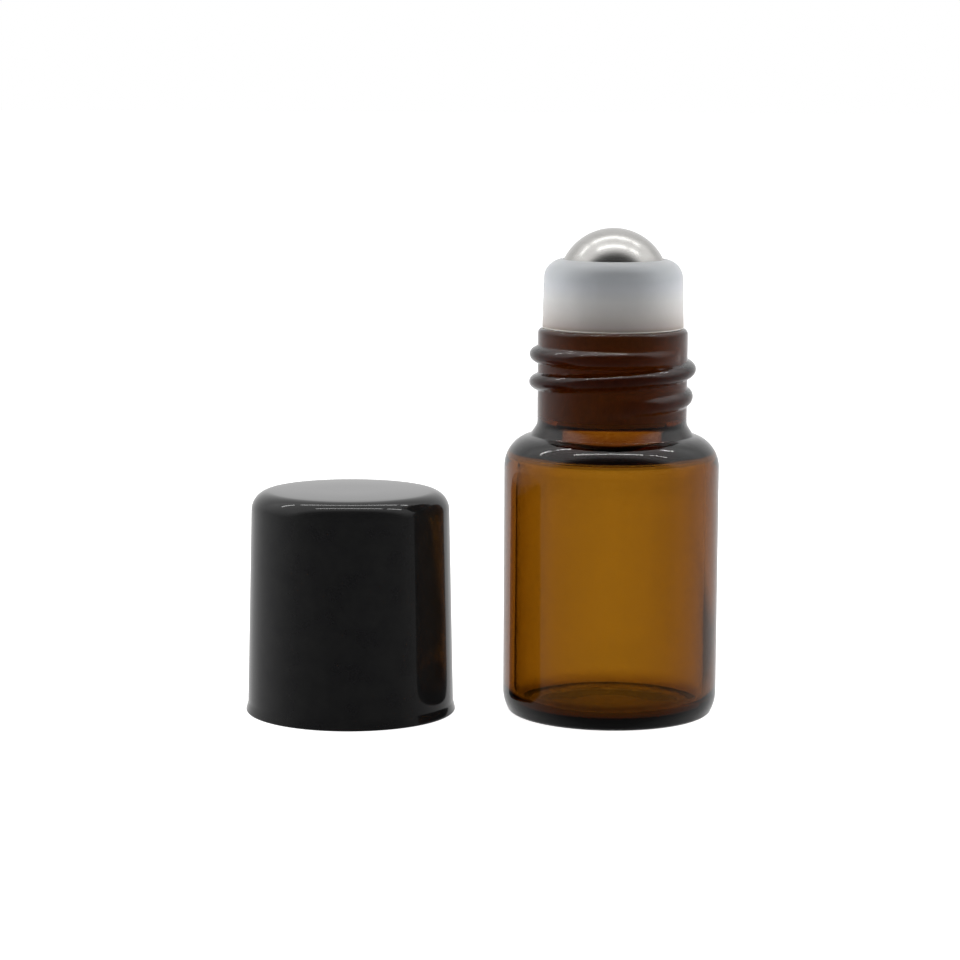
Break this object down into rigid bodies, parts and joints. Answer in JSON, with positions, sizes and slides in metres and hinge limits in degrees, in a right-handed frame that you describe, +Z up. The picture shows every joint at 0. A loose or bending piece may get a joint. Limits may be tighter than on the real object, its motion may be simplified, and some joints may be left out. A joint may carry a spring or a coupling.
{
  "type": "roll on bottle",
  "caption": "Small amber glass roll on bottle with a steel ball in a moulded housing in its threaded neck, and its black screw cap standing mouth down beside it.",
  "frame": {"origin": "centre of the ring that the glass bottle stands on, on the bottle's axis", "axes": "+Z up along the bottle's axis to the ball, +X to the right as pictured with the cap on the -X side, +Y to the back"},
  "size_m": [0.0363, 0.0165, 0.0374],
  "materials": {
    "amber_glass": "gloss",
    "natural_plastic": "satin",
    "ball_steel": "polished",
    "cap_plastic": "gloss"
  },
  "bodies": {
    "bottle": {"glass_bottle": "amber_glass", "ball_housing": "natural_plastic"},
    "ball": {"roller_ball": "ball_steel"},
    "cap": {"screw_cap": "cap_plastic"}
  },
  "joints": [
    {"name": "ball_roll", "type": "hinge", "parent": "bottle", "child": "ball", "pos_m": [0, 0, 0.03315], "axis": [1, 0, 0], "continuous": true},
    {"name": "cap_lift", "type": "slide", "parent": "bottle", "child": "cap", "axis": [0, 0, 1], "range_m": [0, 0.042]}
  ]
}
